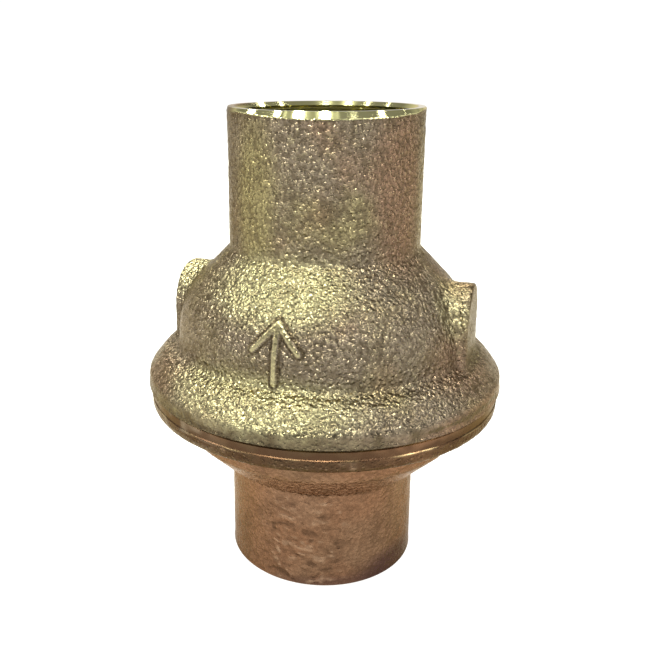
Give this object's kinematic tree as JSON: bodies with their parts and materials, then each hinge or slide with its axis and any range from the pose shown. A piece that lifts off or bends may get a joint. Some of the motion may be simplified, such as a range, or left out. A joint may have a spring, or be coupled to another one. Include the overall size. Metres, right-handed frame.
{
  "type": "backflow preventer",
  "caption": "In-line spring check valve in cast bronze with solder cups, wrench pads, and a sliding poppet that lets water pass one way only.",
  "frame": {"origin": "centre of the lower solder cup's rim, on the valve's axis", "axes": "+Z along the axis in the direction of flow, from the tail piece to the bell; the wrench pads face -X and +X; the flow arrow is on the -Y side"},
  "size_m": [0.0606, 0.0606, 0.0784],
  "materials": {
    "cast_bronze": "rough sand-cast skin",
    "cast_bronze_tail": "cast skin with a copper flush",
    "turned_brass": "turned",
    "stainless": "turned",
    "spring_steel": "drawn wire",
    "seal_rubber": "moulded",
    "bush_plastic": "moulded acetal"
  },
  "bodies": {
    "housing": {"valve_body": "cast_bronze", "tail_piece": "cast_bronze_tail", "body_oring": "seal_rubber", "seat_ring": "turned_brass", "seat_oring": "seal_rubber", "spring": "spring_steel", "guide_spider": "turned_brass", "guide_bush": "bush_plastic", "snap_ring": "spring_steel"},
    "poppet": {"stem": "stainless", "disc_holder": "turned_brass", "seal_disc": "seal_rubber", "wing_clamp": "turned_brass", "lock_washer": "stainless", "stem_nut": "stainless"}
  },
  "joints": [
    {"name": "poppet_lift", "type": "slide", "parent": "housing", "child": "poppet", "axis": [0, 0, 1], "range_m": [0, 0.006], "stiffness_N_per_m": 250, "springref_m": -0.006, "deforming": ["spring"]}
  ]
}
